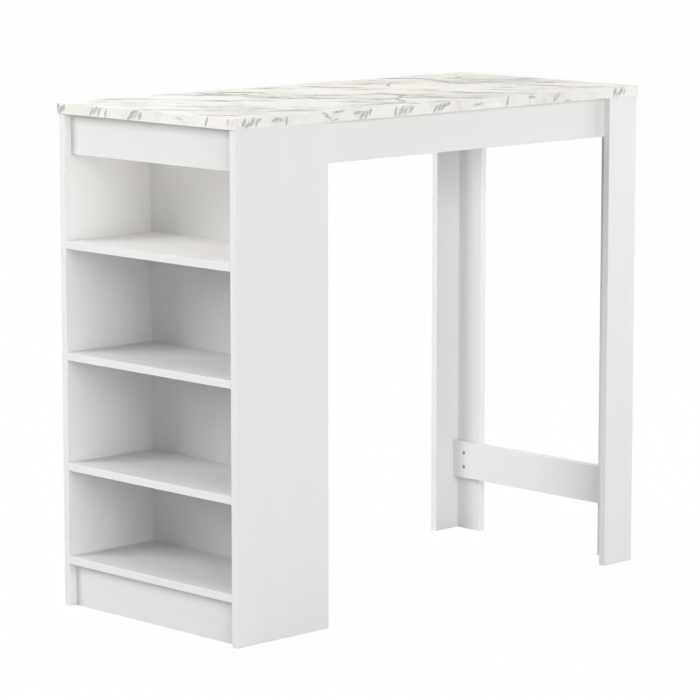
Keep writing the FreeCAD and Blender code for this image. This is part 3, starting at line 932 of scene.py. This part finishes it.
def model_wood_dowel():
    """Fluted dowel along Z about its middle, with chamfered ends."""
    dowel = start_piece(bpy.ops.mesh.primitive_cylinder_add, vertices=dowel_sides, radius=dowel_radius,
                        depth=dowel_length)
    bevel_ends(dowel, dowel_chamfer, dowel_chamfer_steps)
    staves = [face.center.copy() for face in dowel.data.polygons if abs(face.normal.z) < upright_limit]
    staves.sort(key=lambda middle: atan2(middle.y, middle.x))
    fluted = staves[::2]
    edit_faces(dowel, lambda middle, normal: any((middle - place).length < same_place for place in fluted))
    bpy.ops.mesh.inset(thickness=flute_margin, depth=-flute_depth, use_individual=True)
    return smooth_round_faces(end_edit(dowel))


def loose_fittings(node_name):
    """Corner points of every separate fitting in a CAD node, read from a merged copy of its mesh."""
    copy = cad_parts[node_name].copy()
    copy.data = copy.data.copy()
    copy.parent = None
    bpy.context.scene.collection.objects.link(copy)
    only_select(copy)
    bpy.ops.object.mode_set(mode="EDIT")
    bpy.ops.mesh.select_all(action="SELECT")
    bpy.ops.mesh.remove_doubles(threshold=merge_distance)
    bpy.ops.mesh.separate(type="LOOSE")
    bpy.ops.object.mode_set(mode="OBJECT")
    parts = list(bpy.context.selected_objects)
    fittings = [[corner.co.copy() for corner in part.data.vertices] for part in parts]
    for part in parts:
        bpy.data.objects.remove(part)
    return fittings


def two_ends(corners, pick):
    """A fitting's ends along its longest (pick max) or shortest (pick min) way: places and corners there."""
    low = Vector([min(corner[way] for corner in corners) for way in range(3)])
    high = Vector([max(corner[way] for corner in corners) for way in range(3)])
    size = high - low
    way = pick(range(3), key=lambda index: size[index])
    ends = []
    for level in (low[way], high[way]):
        place = (low + high) / 2
        place[way] = level
        near = [corner for corner in corners if abs(corner[way] - level) < same_place]
        ends.append((place, near))
    return ends


def end_spread(end):
    """How far an end's corners reach from its middle."""
    place, near = end
    return max((corner - place).length for corner in near)


def end_count(end):
    """How many corners an end has."""
    return len(end[1])


def standing_at(origin, up, along):
    """Matrix that puts a pattern's height along up and its X along another direction."""
    up = up.normalized()
    along = (along - up * along.dot(up)).normalized()
    turn = Matrix((along, up.cross(along), up)).transposed().to_4x4()
    return Matrix.Translation(origin) @ turn


def any_across(up):
    """A direction that isn't along up."""
    return Vector(X_AXIS) if abs(up.normalized().x) < sideways_limit else Vector(Z_AXIS)


def find_dowels():
    """Where the dowels stand, each about its middle."""
    places = []
    for corners in loose_fittings("wood_dowels"):
        low_end, high_end = (place for place, near in two_ends(corners, max))
        up = high_end - low_end
        places.append(standing_at((low_end + high_end) / 2, up, any_across(up)))
    return places


def find_bolts():
    """Where the bolts stand, each from the end of its thread, and each head's place and direction."""
    places = []
    heads = []
    for corners in loose_fittings("cam_bolts"):
        (thread_end, _), (head_end, _) = sorted(two_ends(corners, max), key=end_spread)
        up = head_end - thread_end
        places.append(standing_at(thread_end, up, any_across(up)))
        heads.append((head_end, up.normalized()))
    return places, heads


def find_discs(bolt_heads):
    """Where the cam discs stand, face out, each with its mouth towards the nearest bolt."""
    places = []
    for corners in loose_fittings("cam_discs"):
        (plain_end, _), (face_end, _) = sorted(two_ends(corners, min), key=end_count)
        _, bolt_direction = min(bolt_heads, key=lambda head: (head[0] - face_end).length)
        places.append(standing_at(face_end, face_end - plain_end, bolt_direction))
    return places


def find_screws():
    """Where the screws stand, each from its head."""
    places = []
    for corners in loose_fittings("board_screws"):
        (point_end, _), (head_end, _) = sorted(two_ends(corners, max), key=end_spread)
        places.append(standing_at(head_end, head_end - point_end, Vector(Z_AXIS)))
    return places


def copy_to_places(pattern, name, places, material, node_name):
    """Copies a pattern to every place as one named set, which stands for the CAD node."""
    copies = []
    for place in places:
        copy = pattern.copy()
        copy.data = pattern.data.copy()
        copy.data.transform(place)
        bpy.context.scene.collection.objects.link(copy)
        copies.append(copy)
    bpy.data.objects.remove(pattern)
    only_select(copies[0])
    for copy in copies:
        copy.select_set(True)
    bpy.ops.object.join()
    fitting_set = bpy.context.object
    fitting_set.name = name
    fitting_set.data.name = name
    fitting_set.data.materials.clear()
    fitting_set.data.materials.append(material)
    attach(fitting_set, "root")
    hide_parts(node_name)


def make_fittings():
    """Dowels, bolts, cam discs and screws at the places that the CAD nodes give."""
    dowels = find_dowels()
    bolts, bolt_heads = find_bolts()
    discs = find_discs(bolt_heads)
    screws = find_screws()
    plated = metal("zinc_plated_steel", zinc_bright, zinc_dull, zinc_roughness, bare_metal)
    cast = metal("zinc_die_cast", die_cast_bright, die_cast_dull, die_cast_roughness, bare_metal)
    dark = metal("dark_steel", dark_steel_face, dark_steel_rubbed, dark_steel_roughness, blackened_metal)
    copy_to_places(model_wood_dowel(), "wood_dowel_set", dowels, beech(), "wood_dowels")
    copy_to_places(model_cam_bolt(), "cam_bolt_set", bolts, plated, "cam_bolts")
    copy_to_places(model_cam_disc(), "cam_disc_set", discs, cast, "cam_discs")
    copy_to_places(model_board_screw(), "board_screw_set", screws, dark, "board_screws")


def seen_directly(tree):
    """1 for rays that come from the camera, a mirror or glass, 0 for the light on the object."""
    path = add_node(tree, "LightPath").outputs
    mirror = calc(tree, "MAXIMUM", path["Is Glossy Ray"], path["Is Transmission Ray"])
    return calc(tree, "MAXIMUM", path["Is Camera Ray"], mirror)


def make_dome():
    """An even dome that lights the object at a plain level and shows as white."""
    world = bpy.data.worlds.new("studio_dome")
    world.use_nodes = True
    tree = world.node_tree
    tree.nodes.clear()
    light = add_node(tree, "Background", {"Color": backdrop_white, "Strength": dome_level})
    white = add_node(tree, "Background", {"Color": backdrop_white, "Strength": backdrop_level})
    feeds = {0: seen_directly(tree), 1: light.outputs[0], 2: white.outputs[0]}
    mixed = add_node(tree, "MixShader", feeds)
    add_node(tree, "OutputWorld", {"Surface": mixed.outputs[0]})
    bpy.context.scene.world = world


def make_floor():
    """A pale floor that keeps a faint shadow of the object and is clear from below."""
    floor = start_piece(bpy.ops.mesh.primitive_plane_add, size=floor_size, location=(0.0, 0.0, cad_low.z))
    floor.name = "studio_floor"
    material = bpy.data.materials.new("pale_floor")
    material.use_nodes = True
    tree = material.node_tree
    shader = tree.nodes["Principled BSDF"]
    shader.inputs["Base Color"].default_value = floor_shade
    shader.inputs["Roughness"].default_value = floor_roughness
    shader.inputs["Specular IOR Level"].default_value = 0.0
    glow = add_node(tree, "Emission", {"Color": backdrop_white, "Strength": backdrop_level})
    share = calc(tree, "MULTIPLY", seen_directly(tree), backdrop_share)
    lit = add_node(tree, "MixShader", {0: share, 1: shader.outputs[0], 2: glow.outputs[0]})
    clear = add_node(tree, "BsdfTransparent")
    behind = add_node(tree, "NewGeometry").outputs["Backfacing"]
    both = add_node(tree, "MixShader", {0: behind, 1: lit.outputs[0], 2: clear.outputs[0]})
    tree.links.new(both.outputs[0], tree.nodes["Material Output"].inputs["Surface"])
    floor.data.materials.append(material)


def add_lamp(name, place, width, watts):
    """Adds a square lamp that lights the object and isn't seen itself."""
    bpy.ops.object.light_add(type="AREA", location=place)
    lamp = bpy.context.object
    lamp.name = name
    lamp.data.size = width
    lamp.data.energy = watts
    lamp.visible_camera = False
    return lamp


def make_soft_boxes():
    """Large soft lamps round the object, each aimed at its middle."""
    for name, (place, width, watts) in soft_boxes.items():
        lamp = add_lamp(name, place, width, watts)
        lamp.rotation_euler = (soft_box_aim - Vector(place)).to_track_quat("-Z", "Y").to_euler()


def make_fill_strip():
    """A small warm lamp under the top, so that the column's top compartment isn't left in the dark."""
    shelf_low, shelf_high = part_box("upper_shelf")
    apron_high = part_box("column_end_apron")[1]
    width = shelf_high.x - apron_high.x - 2 * fill_margin
    middle = ((shelf_high.x + apron_high.x) / 2, 0.0, top_low.z - fill_drop)
    lamp = add_lamp("compartment_fill", middle, width, fill_watts)
    lamp.data.shape = "RECTANGLE"
    lamp.data.size_y = shelf_high.y - shelf_low.y - 2 * fill_margin
    lamp.data.color = fill_tint


def make_camera():
    """The photograph's viewing place, with no shift and no depth of field."""
    level = cos(view_tilt)
    forward = Vector((sin(view_heading) * level, cos(view_heading) * level, -sin(view_tilt)))
    bpy.ops.object.camera_add(location=view_aim - forward * view_distance)
    camera = bpy.context.object
    camera.rotation_euler = (quarter_turn - view_tilt, 0.0, -view_heading)
    camera.data.sensor_width = view_sensor
    camera.data.lens = view_lens
    bpy.context.scene.camera = camera


bpy.context.scene.view_settings.view_transform = "Standard"
dress_boards()
dress_bands()
make_fittings()
make_dome()
make_floor()
make_soft_boxes()
make_fill_strip()
make_camera()
